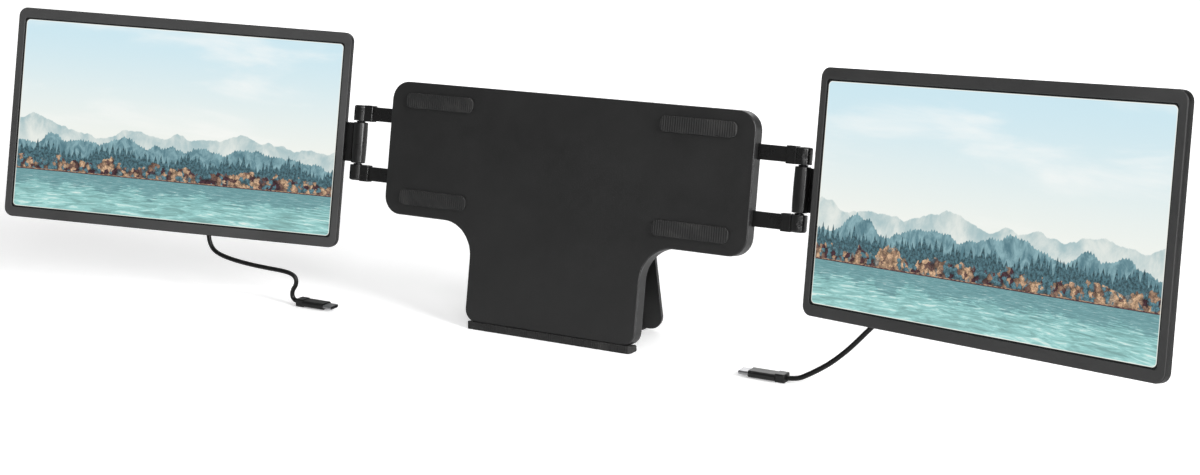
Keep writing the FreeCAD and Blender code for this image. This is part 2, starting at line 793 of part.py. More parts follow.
def back_shell():
    """Pressed rear shell: a shallow tray with screw bosses, slide stops and kickstand ears."""
    tray = bracket_plate((panel_y, bracket_back))
    tray = tray.makeFillet(edge_round, edges_on(tray, "Y", bracket_back))
    tray = tray.cut(bracket_plate((panel_y - past, inner_y), sheet))
    solids = [rod(boss_radius, V(x, panel_y, z), V(x, inner_y, z)) for x, z in boss_places()]
    solids += [rod(stop_radius, V(side * stop_x, panel_y, hinge_z), V(side * stop_x, inner_y, hinge_z))
               for side in (-1, 1)]
    for side in (-1, 1):
        for step in (-1, 1):
            start = kick_station + step * (kick_knuckle_length / 2 + running_gap + ear_thickness / 2)
            ear_x = about(side * start, ear_thickness)
            foot = slab(ear_x, (inner_y, kick_y), about(kick_height, 2 * kick_knuckle))
            head = rod(kick_knuckle, V(ear_x[0], kick_y, kick_height), V(ear_x[1], kick_y, kick_height))
            solids.append(foot.fuse(head))
    tray = tray.fuse(solids).removeSplitter()
    holes = [screw_hole(shell_screw, V(x, bracket_back, z), V(0, -1, 0), bracket_back - panel_y + past)
             for x, z in boss_places()]
    for side in (-1, 1):
        for level in (-1, 1):
            wall_x = sorted((side * (half_width + past), side * (half_width - sheet - past)))
            holes.append(slab(wall_x, inset(arm_y, -running_gap),
                              about(hinge_z + level * arm_offset, arm_height + 2 * running_gap)))
        ends = [V(side * (kick_station + step * kick_knuckle_length), kick_y, kick_height)
                for step in (-1, 1)]
        holes.append(rod(kick_pin + pin_clearance, ends[0], ends[1]))
    return tray.cut(holes)


def front_panel():
    panel = bracket_plate((bracket_front, panel_y))
    panel = panel.makeFillet(panel_round, edges_on(panel, "Y", bracket_front))
    holes = [rod(shell_screw[0] + seat_clearance, V(x, panel_y + past, z), V(x, panel_y - panel_depth / 2, z))
             for x, z in boss_places()]
    return panel.cut(holes)


def shell_screws():
    length = bracket_back - panel_y + panel_depth / 2 - seat_clearance
    return Part.makeCompound([screw(shell_screw, V(x, bracket_back, z), V(0, -1, 0), length)
                              for x, z in boss_places()])


def guide_rails():
    """Low-friction strips in the shell, below and above every arm."""
    end = half_width - sheet - past
    rails = []
    for low in rail_places():
        for side in (-1, 1):
            span = sorted((side * rail_start, side * end))
            rails.append(slab(span, rail_y, (low, low + rail_height)))
    return Part.makeCompound(rails)


def brake_pads():
    """Pads on the panel that drag on the carriages."""
    deep = (panel_y, carriage_y[0] - running_gap)
    high = hinge_z - stop_slot - 2 * past
    return Part.makeCompound([slab(sorted((side * brake_start, side * (brake_start + brake_length))), deep,
                                   (high - brake_height, high), brake_corner) for side in (-1, 1)])


def grip_pads():
    """Four soft pads on the front panel, one at each corner."""
    far = half_width - pad_inset
    pads = []
    for side in (-1, 1):
        for low in (plate_bottom + pad_margin, plate_top - pad_margin - pad_height):
            span = sorted((side * (far - pad_length), side * far))
            deep = (bracket_front - pad_depth, bracket_front)
            pad = slab(span, deep, (low, low + pad_height), pad_corner)
            pads.append(pad.makeFillet(pad_depth / 3, edges_on(pad, "Y", deep[0])))
    return Part.makeCompound(pads)


def foot_strip():
    """Rubber strip under the leg: flat on the table, and sloped above to seat the leaned leg."""
    strip = slab(about(0, 2 * foot_half_length), about(0, 2 * foot_half_depth), (0, 2 * leg_bottom),
                 foot_corner, "Z")
    above = slab((-half_width, half_width), (-half_width, half_width), (leg_bottom, half_width))
    return strip.cut(leaned(above))


# Kickstand

def opened(shape):
    """A kickstand piece, from folded flat against the shell to open."""
    turned = shape.copy()
    turned.rotate(V(0, kick_y, kick_height), V(1, 0, 0), kick_angle)
    return turned


def kickstand():
    """Steel plate with a recessed panel and two knuckles at its upper edge."""
    plate_z = (kick_height - kick_reach + boot_wall, kick_height - kick_pin)
    plate_y = about(kick_y, kick_plate)
    plate_x = about(0, 2 * kick_half_width)
    plate = slab(plate_x, plate_y, plate_z, kick_corner)
    recess_z = (plate_z[0] + boot_height + kick_rim / 2, plate_z[1] - kick_rim - kick_knuckle)
    recess = slab(inset(plate_x, kick_rim), (plate_y[1] - kick_recess, plate_y[1] + past), recess_z,
                  kick_corner / 2)
    plate = plate.cut(recess)
    knuckles, gaps = [], []
    for side in (-1, 1):
        span = about(side * kick_station, kick_knuckle_length)
        knuckles.append(rod(kick_knuckle, V(span[0], kick_y, kick_height), V(span[1], kick_y, kick_height)))
        for step in (-1, 1):
            centre = side * kick_station + step * (kick_knuckle_length + ear_thickness + 2 * running_gap) / 2
            gaps.append(slab(about(centre, ear_thickness + 2 * running_gap), inset(plate_y, -past),
                             (kick_height - kick_knuckle - 2 * running_gap, kick_height + past)))
    plate = plate.cut(gaps).fuse(knuckles)
    bore = rod(kick_pin + pin_clearance, V(-kick_half_width, kick_y, kick_height),
               V(kick_half_width, kick_y, kick_height))
    return opened(plate.cut(bore))


def kickstand_foot():
    """Rubber boot on the kickstand's lower edge, cut flat where it meets the table."""
    low = kick_height - kick_reach - 2 * boot_wall
    across = inset((-kick_half_width, kick_half_width), kick_corner + boot_inset)
    boot = slab(across, inset(about(kick_y, kick_plate), -boot_wall),
                (low, kick_height - kick_reach + boot_height), boot_wall, "X")
    plate = slab(inset(across, -past), about(kick_y, kick_plate),
                 (kick_height - kick_reach + boot_wall, kick_height))
    table = slab((-half_width, half_width), (0, 2 * half_width), (-half_width, 0))
    return leaned(opened(boot.cut(plate))).cut(table)


def kickstand_pins():
    reach = kick_knuckle_length / 2 + running_gap + ear_thickness
    return Part.makeCompound([
        rod(kick_pin, V(side * kick_station - reach, kick_y, kick_height),
            V(side * kick_station + reach, kick_y, kick_height)) for side in (-1, 1)])


# All nodes in place

def screen_pieces():
    return {
        "front_bezel": front_bezel(), "lcd_cell": lcd_cell(), "backlight": backlight(),
        "chassis_plate": chassis_plate(), "hinge_leaf": hinge_leaf(), "leaf_screws": leaf_screws(),
        "back_cover": back_cover(), "cover_screws": cover_screws(), "driver_board": driver_board(),
        "port_sockets": port_sockets(), "power_key": power_key(), "menu_rocker": menu_rocker(),
    }


def slider_pieces():
    return {
        "upper_arm": arm(1), "lower_arm": arm(-1), "hinge_pin": hinge_pin(), "hinge_washers": hinge_washers(),
        "grub_screws": grub_screws(), "carriage": carriage(), "arm_screws": arm_screws(),
    }


def cable_pieces(side, socket, route):
    """The cable of one side, with its plug at the screen, its plug on the table and both shells."""
    x = screen_x[0] + socket
    boot = screen_plug(x)
    shell = plug_shell()
    shell.translate(V(x, socket_centre_y(), housing_z[0] - running_gap))
    boot, shell = toed(boot), toed(shell)
    if side < 0:
        boot, shell = mirrored(boot), mirrored(shell)
    prefix = "right_" if side > 0 else "left_"
    end = V(*route[-1])
    return {
        prefix + "screen_plug": leaned(boot),
        prefix + "laptop_plug": laptop_plug(end, side),
        prefix + "plug_shells": Part.makeCompound([leaned(shell), laid_shell(end, side)]),
        prefix + "cable": cable(route, prefix + "cable"),
    }


def all_nodes():
    nodes = {
        "back_shell": leaned(back_shell()), "front_panel": leaned(front_panel()),
        "shell_screws": leaned(shell_screws()), "guide_rails": leaned(guide_rails()),
        "brake_pads": leaned(brake_pads()), "grip_pads": leaned(grip_pads()), "foot_strip": foot_strip(),
        "kickstand": leaned(kickstand()), "kickstand_foot": kickstand_foot(),
        "kickstand_pins": leaned(kickstand_pins()),
    }
    upright = {name: toed(shape) for name, shape in screen_pieces().items()}
    upright.update(slider_pieces())
    for name, shape in upright.items():
        nodes["right_" + name] = leaned(shape)
        nodes["left_" + name] = leaned(mirrored(shape))
    nodes.update(cable_pieces(1, inner_socket, right_route))
    nodes.update(cable_pieces(-1, outer_socket, left_route))
    return nodes


os.makedirs("parts", exist_ok=True)
for node, shape in sorted(all_nodes().items()):
    if not shape.isValid():
        print(node, "is not valid")
    shape.exportStep("parts/" + node + ".step")
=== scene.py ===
import json
import math

import bpy
from bpy.props import FloatProperty, FloatVectorProperty, PointerProperty
from mathutils import Matrix, Vector


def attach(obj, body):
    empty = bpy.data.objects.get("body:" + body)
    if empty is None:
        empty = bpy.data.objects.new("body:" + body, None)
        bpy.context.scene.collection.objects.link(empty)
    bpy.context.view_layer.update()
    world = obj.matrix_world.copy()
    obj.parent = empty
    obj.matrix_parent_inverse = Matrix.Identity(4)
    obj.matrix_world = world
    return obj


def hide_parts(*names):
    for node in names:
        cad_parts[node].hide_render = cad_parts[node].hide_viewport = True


bl_info = {
    "name": "Screen extender",
    "version": (1, 0, 0),
    "blender": (4, 5, 0),
    "location": "3D View > Sidebar > Extender",
    "description": "Finishes a pair of hinged side screens with their bracket, cables, displays and stage",
    "category": "Object",
}

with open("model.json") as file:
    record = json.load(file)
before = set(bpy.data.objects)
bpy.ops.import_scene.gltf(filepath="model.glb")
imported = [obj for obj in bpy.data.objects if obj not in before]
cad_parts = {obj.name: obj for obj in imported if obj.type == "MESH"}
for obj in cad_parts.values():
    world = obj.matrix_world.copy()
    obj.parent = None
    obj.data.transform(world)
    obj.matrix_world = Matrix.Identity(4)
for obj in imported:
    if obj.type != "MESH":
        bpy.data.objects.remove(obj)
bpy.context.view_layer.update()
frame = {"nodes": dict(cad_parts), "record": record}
SLOT_OF = {part["node"]: part["material_slot"] for part in frame["record"]["subparts"]}
BODY_OF = {node: body for body, nodes in frame["record"]["behaviour"]["bodies"].items() for node in nodes}
SIDES = {"right": 1, "left": -1}

# Places that follow the CAD source, in metres and radians
LEAN = math.radians(10)
TOE_IN = math.radians(19)
HINGE = Vector((0.1612, 0.0014, 0))
DISPLAY_CENTRE = Vector((0.1301, -0.00134, 0.10990))
FACE_BEFORE_DISPLAY = 0.0009
WINDOW = (0.2300, 0.1302)
WINDOW_CORNER = 0.0022

# Cable routes, from the plug at the screen to the plug on the table
ROUTES = {
    "right": [
        (.22701, -.00214, .06403), (.22701, -.00362, .05566),
        (.2228, -.0026, .0454), (.2125, -.0016, .0345),
        (.2015, -.0024, .0224), (.1910, -.0050, .0132), (.1810, -.0082, .0070), (.1730, -.0094, .0028),
        (.1668, -.0094, .0028),
    ],
    "left": [
        (-.26294, -.01432, .06618), (-.26294, -.01588, .05732),
        (-.2636, -.0169, .0465), (-.2628, -.0174, .0370),
        (-.2596, -.0174, .0312), (-.2530, -.0172, .0280), (-.2415, -.0166, .0256), (-.2270, -.0159, .0240),
        (-.2135, -.0150, .0231), (-.2030, -.0142, .0226), (-.1946, -.0136, .0214), (-.1911, -.0133, .0184),
        (-.1916, -.0131, .0137), (-.1948, -.0130, .0099), (-.1955, -.0130, .0057), (-.1931, -.0130, .0028),
        (-.1895, -.0130, .0028),
    ],
}

# Cleaning of the CAD meshes
MERGE = 2e-6
FLAT = math.radians(0.4)
SMOOTH = math.radians(32)
BEVEL_FROM = math.radians(40)

# Widths of the softened edges
SCREW_EDGE = 0.00004
SHELL_EDGE = 0.00005
PIN_EDGE = 0.00006
KEY_EDGE = 0.0001
PLASTIC_EDGE = 0.00012
PANEL_EDGE = 0.00015
METAL_EDGE = 0.0002
STRIP_EDGE = 0.0003
LIP_GAP = 0.00005

# Tints of what settles on the finishes
DUST = (0.30, 0.29, 0.27)
CABLE_DUST = (0.25, 0.24, 0.22)
BLOOM = (0.20, 0.19, 0.18)
TARNISH = (0.16, 0.14, 0.12)
CLOUD = (1.0, 0.99, 0.96)

# Camera and stage
SENSOR_WIDTH = 36
CAMERA_SHIFT = (-0.0268, -0.1045)
FLOOR_SIZE = 14
LAMP_AIM = Vector((0, 0, 0.1))
LAMPS = (
    ("key_lamp", (1.10, -1.35, 0.95), (0.8, 0.8), "key_power"),
    ("side_lamp", (1.75, -0.45, 0.75), (0.45, 1.30), "side_power"),
    ("top_lamp", (0.0, 0.3, 1.8), (2.0, 1.0), "top_power"),
    ("back_lamp", (-0.5, 1.7, 1.1), (1.2, 1.2), "back_power"),
)


def colour(label, text, default):
    return FloatVectorProperty(name=label, description=text, subtype="COLOR", size=3, min=0, max=1,
                               default=default)


def length(label, text, default, low=0.0, high=1.0):
    return FloatProperty(name=label, description=text, subtype="DISTANCE", unit="LENGTH", min=low,
                         max=high, default=default, precision=5)


def share(label, text, default, high=1.0):
    return FloatProperty(name=label, description=text, subtype="FACTOR", min=0, max=high, default=default)


class ViewSettings(bpy.types.PropertyGroup):
    distance: length("Distance", "From the camera to the vertical axis", 1.1366, 0.2, 10)
    height: length("Height", "Of the camera above the table", 0.3336, 0, 5)
    turn: FloatProperty(name="Turn", description="Direction of the camera from the front, to the right",
                        subtype="ANGLE", default=math.atan2(0.6038, 0.9630))
    azimuth: FloatProperty(name="Azimuth", description="Direction that the camera faces", subtype="ANGLE",
                           default=math.radians(29.48))
    elevation: FloatProperty(name="Elevation", description="How far the camera looks down",
                             subtype="ANGLE", default=math.radians(9.49))
    roll: FloatProperty(name="Roll", description="Tilt of the picture", subtype="ANGLE",
                        default=math.radians(-0.23))
    lens: FloatProperty(name="Lens", description="Focal length in millimetres", subtype="DISTANCE_CAMERA",
                        min=10, max=300, default=56.33)


class CableSettings(bpy.types.PropertyGroup):
    diameter: length("Diameter", "Of both cables", 0.003, 0.001, 0.01)
    jacket: colour("Jacket", "Colour of the cables' outer sleeve", (0.004, 0.004, 0.004))


class DisplaySettings(bpy.types.PropertyGroup):
    brightness: share("Brightness", "How strongly the displays shine", 0.97, 2.0)
    black_rim: length("Black rim", "Dark line between the picture and the window's edge", 0.0008, 0, 0.01)
    # Painted highlight: a thin pale line glows round the picture and stands for light caught on the glass
    # edge.
    rim_highlight_width: length("Pale edge", "Line of leaked light round the picture", 0.0006, 0, 0.01)
    corner: length("Picture corners", "Radius of the lit picture's corners", 0.0026, 0, 0.01)
    sky_top: colour("High sky", "Top of the picture", (0.610, 0.810, 0.890))
    sky_low: colour("Low sky", "Sky just above the hills", (0.921, 0.925, 0.860))
    far_hills: colour("Far hills", "Hazy hills at the back", (0.270, 0.450, 0.490))
    near_hills: colour("Near hills", "Hills behind the wood", (0.090, 0.200, 0.240))
    evergreen: colour("Evergreens", "Pointed trees", (0.022, 0.052, 0.062))
    leaf_dark: colour("Dark leaves", "Shaded autumn trees", (0.060, 0.022, 0.030))
    leaf_light: colour("Light leaves", "Sunlit autumn trees", (0.600, 0.390, 0.240))
    water_far: colour("Far water", "Lake by the far shore", (0.190, 0.430, 0.435))
    water_near: colour("Near water", "Lake at the bottom edge", (0.300, 0.580, 0.560))


class ScreenSettings(bpy.types.PropertyGroup):
    bezel: colour("Bezel", "Front faces round the displays", (0.056, 0.056, 0.056))
    # Painted shade: the bezels' walls and the display lips get a near-black tint, much darker than the front
    # faces of the same plastic.
    bezel_side: colour("Bezel sides", "Outer and inner walls of the bezels", (0.003, 0.003, 0.003))
    cover: colour("Cover", "Plastic of the rear covers", (0.008, 0.008, 0.008))
    key: colour("Keys", "Power key and menu rocker", (0.009, 0.009, 0.009))
    gasket_width: length("Gasket width", "Inner lip round each display", 0.0005, 0.0002, 0.002)
    gasket_depth: length("Gasket depth", "How far the lip stands off the display", 0.00035, 0.0001, 0.0008)


class HingeSettings(bpy.types.PropertyGroup):
    coat: colour("Coat", "Satin paint on the hinges and arms", (0.004, 0.004, 0.004))
    steel: colour("Steel", "Bare pins, sockets and carriages", (0.36, 0.36, 0.37))
    dark_steel: colour("Dark steel", "Blackened hinge pins and washers", (0.035, 0.035, 0.036))


class BracketSettings(bpy.types.PropertyGroup):
    panel: colour("Front panel", "Painted panel between the screens", (0.014, 0.014, 0.014))
    shell: colour("Rear shell", "Painted shell behind the panel", (0.012, 0.012, 0.012))
    stand: colour("Kickstand", "Painted steel of the stand", (0.016, 0.016, 0.016))
    rubber: colour("Rubber", "Pads, foot strip and kickstand foot", (0.010, 0.010, 0.010))


class StageSettings(bpy.types.PropertyGroup):
    key_power: FloatProperty(name="Key light", description="Large lamp in front, to the right, in watts",
                             subtype="POWER", min=0, max=500, default=12)
    side_power: FloatProperty(name="Side light", description="Tall lamp at the right, in watts",
                              subtype="POWER", min=0, max=500, default=46)
    top_power: FloatProperty(name="Top light", description="Lamp overhead, in watts", subtype="POWER",
                             min=0, max=500, default=7)
    back_power: FloatProperty(name="Back light", description="Soft lamp behind, in watts", subtype="POWER",
                              min=0, max=500, default=12)
    ambient: share("Ambient", "Light that comes from all round", 0.20, 2.0)
    floor: colour("Floor", "Table top", (0.88, 0.88, 0.88))


GROUPS = {
    "view": ViewSettings, "cables": CableSettings, "displays": DisplaySettings, "screens": ScreenSettings,
    "hinges": HingeSettings, "bracket": BracketSettings, "stage": StageSettings,
}


class ExtenderSettings(bpy.types.PropertyGroup):
    view: PointerProperty(type=ViewSettings, name="View", description="Camera")
    cables: PointerProperty(type=CableSettings, name="Cables", description="Cables and plugs")
    displays: PointerProperty(type=DisplaySettings, name="Displays", description="Picture and glass")
    screens: PointerProperty(type=ScreenSettings, name="Screens", description="Bezels and covers")
    hinges: PointerProperty(type=HingeSettings, name="Hinges", description="Hinges and arms")
    bracket: PointerProperty(type=BracketSettings, name="Bracket", description="Bracket and stand")
    stage: PointerProperty(type=StageSettings, name="Stage", description="Floor and light")


def settings():
    return bpy.context.scene.screen_extender


# Shader nodes

def place(tree, kind, inputs=None, **options):
    """Adds a node with its options, and fills its inputs with values or with other nodes' outputs."""
    node = tree.nodes.new(kind)
    for name, value in options.items():
        setattr(node, name, value)
    for key, value in (inputs or {}).items():
        if isinstance(value, bpy.types.NodeSocket):
            tree.links.new(value, node.inputs[key])
        else:
            node.inputs[key].default_value = value
    return node


def maths(tree, operation, *terms, clamp=False):
    return place(tree, "ShaderNodeMath", dict(enumerate(terms)), operation=operation,
                 use_clamp=clamp).outputs[0]


def scaled(tree, vector, by):
    """A vector or a colour, times a number."""
    return place(tree, "ShaderNodeVectorMath", {0: vector, "Scale": by}, operation="SCALE").outputs[0]


def mixed(tree, factor, first, second, mode="MIX"):
    node = place(tree, "ShaderNodeMix", data_type="RGBA", blend_type=mode)
    for index, value in ((0, factor), (6, first), (7, second)):
        if isinstance(value, bpy.types.NodeSocket):
            tree.links.new(value, node.inputs[index])
        else:
            node.inputs[index].default_value = value if index == 0 else (*value, 1.0)
    return node.outputs[2]


def stepped(tree, value, low, high, start=0.0, end=1.0):
    """A smooth step from start to end, as value goes from low to high."""
    return place(tree, "ShaderNodeMapRange", {"Value": value, "From Min": low, "From Max": high,
                                              "To Min": start, "To Max": end},
                 interpolation_type="SMOOTHSTEP").outputs["Result"]


def noise(tree, vector, scale, detail=2.0, roughness=0.5, distortion=0.0):
    node = place(tree, "ShaderNodeTexNoise", {"Vector": vector, "Scale": scale, "Detail": detail,
                                              "Roughness": roughness, "Distortion": distortion})
    return node.outputs["Fac"]


def object_place(tree):
    return place(tree, "ShaderNodeTexCoord").outputs["Object"]


def new_group(name, inputs, outputs):
    """An empty node group, with the sockets of its inputs and outputs ready to link."""
    tree = bpy.data.node_groups.new(name, "ShaderNodeTree")
    for label, kind, default in inputs:
        socket = tree.interface.new_socket(name=label, in_out="INPUT", socket_type="NodeSocket" + kind)
        if default is not None:
            socket.default_value = default
    for label, kind in outputs:
        tree.interface.new_socket(name=label, in_out="OUTPUT", socket_type="NodeSocket" + kind)
    return tree, tree.nodes.new("NodeGroupInput").outputs, tree.nodes.new("NodeGroupOutput").inputs


def use_group(tree, name, **values):
    """The outputs of a group placed in a tree. An input's name is given with _ for its spaces."""
    node = place(tree, "ShaderNodeGroup", node_tree=bpy.data.node_groups.get(name) or MAKE_GROUP[name]())
    for key, value in values.items():
        socket = node.inputs[key.replace("_", " ")]
        if isinstance(value, bpy.types.NodeSocket):
            tree.links.new(value, socket)
        else:
            socket.default_value = value
    return node.outputs


def grain_group():
    """Moulded or painted grain: fine height, and slow changes of tone."""
    tree, given, out = new_group("Grain", [("Scale", "Float", 1500.0), ("Pits", "Float", 0.4)],
                                 [("Height", "Float"), ("Tone", "Float"), ("Patch", "Float")])
    spot = object_place(tree)
    fine = noise(tree, spot, given["Scale"], 3.0, 0.6)
    cells = place(tree, "ShaderNodeTexVoronoi", {"Vector": spot, "Scale": given["Scale"]}).outputs
    pits = stepped(tree, cells["Distance"], 0.1, 0.6)
    kept = maths(tree, "MULTIPLY", fine, maths(tree, "SUBTRACT", 1.0, given["Pits"]))
    sunk = maths(tree, "MULTIPLY", pits, given["Pits"])
    tree.links.new(maths(tree, "ADD", kept, sunk), out["Height"])
    slow = noise(tree, spot, 22.0, 4.0, 0.55)
    tree.links.new(stepped(tree, slow, 0.25, 0.75, 0.86, 1.12), out["Tone"])
    tree.links.new(stepped(tree, noise(tree, spot, 60.0, 3.0, 0.6, 0.6), 0.3, 0.7), out["Patch"])
    return tree


def wear_group():
    """Edges that handling has rubbed: 1 on a worn edge, 0 elsewhere."""
    tree, given, out = new_group("Edge wear", [("Width", "Float", 0.0006), ("Amount", "Float", 0.5)],
                                 [("Wear", "Float")])
    rounded = place(tree, "ShaderNodeBevel", {"Radius": given["Width"]}, samples=4).outputs["Normal"]
    plain = place(tree, "ShaderNodeNewGeometry").outputs["Normal"]
    facing = place(tree, "ShaderNodeVectorMath", {0: rounded, 1: plain}, operation="DOT_PRODUCT").outputs
    edge = stepped(tree, facing["Value"], 0.995, 0.86)
    broken = stepped(tree, noise(tree, object_place(tree), 180.0, 5.0, 0.65), 0.36, 0.62)
    worn = maths(tree, "MULTIPLY", edge, broken)
    tree.links.new(maths(tree, "MULTIPLY", worn, given["Amount"]), out["Wear"])
    return tree


def dust_group():
    """Thin dust on what faces up, and the smears that fingers leave."""
    tree, given, out = new_group("Dust", [("Amount", "Float", 0.3)],
                                 [("Dust", "Float"), ("Smear", "Float")])
    spot = object_place(tree)
    up = place(tree, "ShaderNodeSeparateXYZ", {0: place(tree, "ShaderNodeNewGeometry").outputs["Normal"]})
    level = stepped(tree, up.outputs["Z"], 0.25, 0.95)
    specks = stepped(tree, noise(tree, spot, 420.0, 4.0, 0.7), 0.45, 0.75)
    settled = maths(tree, "MULTIPLY", maths(tree, "MULTIPLY", level, specks), given["Amount"])
    tree.links.new(settled, out["Dust"])
    smear = stepped(tree, noise(tree, spot, 35.0, 5.0, 0.6, 1.4), 0.48, 0.72)
    tree.links.new(maths(tree, "MULTIPLY", smear, given["Amount"]), out["Smear"])
    return tree


def brushed_group():
    """Fine scratches along X, as a brush or a roller leaves on metal."""
    tree, given, out = new_group("Brushed", [("Scale", "Float", 900.0)],
                                 [("Height", "Float"), ("Tone", "Float")])
    stretched = place(tree, "ShaderNodeMapping", {"Vector": object_place(tree), "Scale": (0.03, 1.0, 1.0)},
                      vector_type="POINT").outputs["Vector"]
    lines = noise(tree, stretched, given["Scale"], 3.0, 0.7)
    tree.links.new(lines, out["Height"])
    tree.links.new(stepped(tree, lines, 0.3, 0.7, 0.88, 1.08), out["Tone"])
    return tree


SHORE = 0.205
PICTURE_COLOURS = ("sky_top", "sky_low", "far_hills", "near_hills", "evergreen", "leaf_dark", "leaf_light",
                   "water_far", "water_near")


def lakeside_group():
    """A made-up autumn lake for the displays, in display heights from the picture's lower edge."""
    names = [name.replace("_", " ") for name in PICTURE_COLOURS]
    places = [(name, "Float", 0.0) for name in ("Across", "Up", "Along")]
    tree, given, out = new_group("Lakeside", places + [(name, "Color", None) for name in names],
                                 [("Color", "Color")])
    across, up = given["Across"], given["Up"]
    along = maths(tree, "ADD", across, given["Along"])

    def line_noise(scale, seed, detail):
        spot = maths(tree, "MULTIPLY_ADD", along, scale, seed)
        return place(tree, "ShaderNodeTexNoise", {"W": spot, "Scale": 1.0, "Detail": detail,
                                                  "Roughness": 0.52}, noise_dimensions="1D").outputs["Fac"]

    def ridge(scale, seed, base, height, detail):
        rise = maths(tree, "SUBTRACT", line_noise(scale, seed, detail), 0.5)
        return maths(tree, "MULTIPLY_ADD", rise, height, base)

    def below(line, soft):
        return stepped(tree, maths(tree, "SUBTRACT", line, up), -soft, soft)

    def spires(count, tall, seed):
        spot = maths(tree, "MULTIPLY_ADD", along, count, seed)
        cell = maths(tree, "FLOOR", spot)
        chance = place(tree, "ShaderNodeTexWhiteNoise", {"W": cell}, noise_dimensions="1D").outputs["Value"]
        off = maths(tree, "ABSOLUTE", maths(tree, "SUBTRACT", maths(tree, "SUBTRACT", spot, cell), 0.5))
        taper = maths(tree, "SUBTRACT", 1.0, maths(tree, "MULTIPLY", off, 2.2), clamp=True)
        rise = maths(tree, "MULTIPLY_ADD", chance, 0.8, 0.2)
        return maths(tree, "MULTIPLY", maths(tree, "MULTIPLY", taper, rise), tall)

    def flat_spot(x_scale, y_scale):
        return place(tree, "ShaderNodeCombineXYZ", {"X": maths(tree, "MULTIPLY", along, x_scale),
                                                    "Y": maths(tree, "MULTIPLY", up, y_scale)}).outputs[0]

    sky = mixed(tree, stepped(tree, up, 0.25, 1.05), given["sky low"], given["sky top"])
    clouds = stepped(tree, noise(tree, flat_spot(1.1, 4.5), 1.0, 6.0, 0.55, 0.3), 0.46, 0.74, 0.0, 0.65)
    picture = mixed(tree, clouds, sky, CLOUD)

    folds = noise(tree, flat_spot(9.0, 6.0), 1.0, 8.0, 0.62, 0.4)
    far = mixed(tree, stepped(tree, folds, 0.3, 0.7, 0.15, 0.75), given["far hills"], given["sky low"])
    far_line = ridge(1.7, 4.1, 0.440, 0.30, 8.0)
    picture = mixed(tree, below(far_line, 0.003), picture, far)
    mist = stepped(tree, maths(tree, "SUBTRACT", far_line, up), 0.0, 0.16, 0.0, 0.55)
    picture = mixed(tree, maths(tree, "MULTIPLY", mist, below(far_line, 0.003)), picture, given["sky low"])

    slopes = noise(tree, flat_spot(22.0, 14.0), 1.0, 9.0, 0.68, 0.8)
    near = mixed(tree, stepped(tree, slopes, 0.34, 0.66), given["near hills"], given["far hills"])
    near_line = maths(tree, "ADD", ridge(2.9, 11.7, 0.375, 0.24, 9.0), spires(70.0, 0.012, 5.0))
    picture = mixed(tree, below(near_line, 0.002), picture, near)

    wood_line = ridge(4.3, 23.4, 0.300, 0.14, 5.0)
    firs = maths(tree, "MAXIMUM", spires(33.0, 0.075, 0.0), spires(51.0, 0.055, 17.3))
    fir_shade = stepped(tree, noise(tree, flat_spot(90.0, 70.0), 1.0, 4.0, 0.7), 0.35, 0.65)
    fir = mixed(tree, fir_shade, given["evergreen"], given["near hills"])
    picture = mixed(tree, below(maths(tree, "ADD", wood_line, firs), 0.0025), picture, fir)

    ragged = place(tree, "ShaderNodeTexNoise", {"Vector": flat_spot(55.0, 55.0), "Scale": 1.0,
                                                "Detail": 4.0, "Roughness": 0.7}).outputs["Color"]
    crown_spot = place(tree, "ShaderNodeVectorMath", {0: ragged, 1: (2.4, 2.4, 0.0),
                                                      2: flat_spot(52.0, 46.0)},
                       operation="MULTIPLY_ADD").outputs[0]
    crowns = place(tree, "ShaderNodeTexVoronoi", {"Vector": crown_spot, "Scale": 1.0, "Randomness": 1.0},
                   voronoi_dimensions="2D")
    chance = place(tree, "ShaderNodeSeparateColor", {0: crowns.outputs["Color"]}).outputs
    stands = stepped(tree, noise(tree, flat_spot(7.0, 3.0), 1.0, 3.0), 0.38, 0.62, -0.25, 0.25)
    warm = stepped(tree, maths(tree, "ADD", chance[0], stands), 0.15, 0.95)
    leaves = mixed(tree, warm, given["leaf dark"], given["leaf light"])
    leaves = mixed(tree, stepped(tree, maths(tree, "SUBTRACT", chance[1], stands), 0.55, 0.70), leaves,
                   given["near hills"])
    lit = stepped(tree, crowns.outputs["Distance"], 0.85, 0.05, 0.40, 1.20)
    twigs = stepped(tree, noise(tree, flat_spot(190.0, 150.0), 1.0, 5.0, 0.75), 0.3, 0.7, 0.45, 1.45)
    leaves = scaled(tree, leaves, maths(tree, "MULTIPLY", lit, twigs))
    low_wood = ridge(7.7, 31.9, 0.280, 0.16, 8.0)
    tops = maths(tree, "MULTIPLY_ADD", crowns.outputs["Distance"], -0.014, low_wood)
    picture = mixed(tree, below(tops, 0.002), picture, leaves)

    beach = stepped(tree, up, SHORE + 0.010, SHORE + 0.005)
    sand = mixed(tree, stepped(tree, noise(tree, flat_spot(60.0, 220.0), 1.0, 3.0), 0.4, 0.62),
                 given["leaf dark"], given["leaf light"])
    picture = mixed(tree, beach, picture, sand)
    picture = mixed(tree, stepped(tree, up, SHORE + 0.0045, SHORE + 0.003), picture, given["leaf dark"])

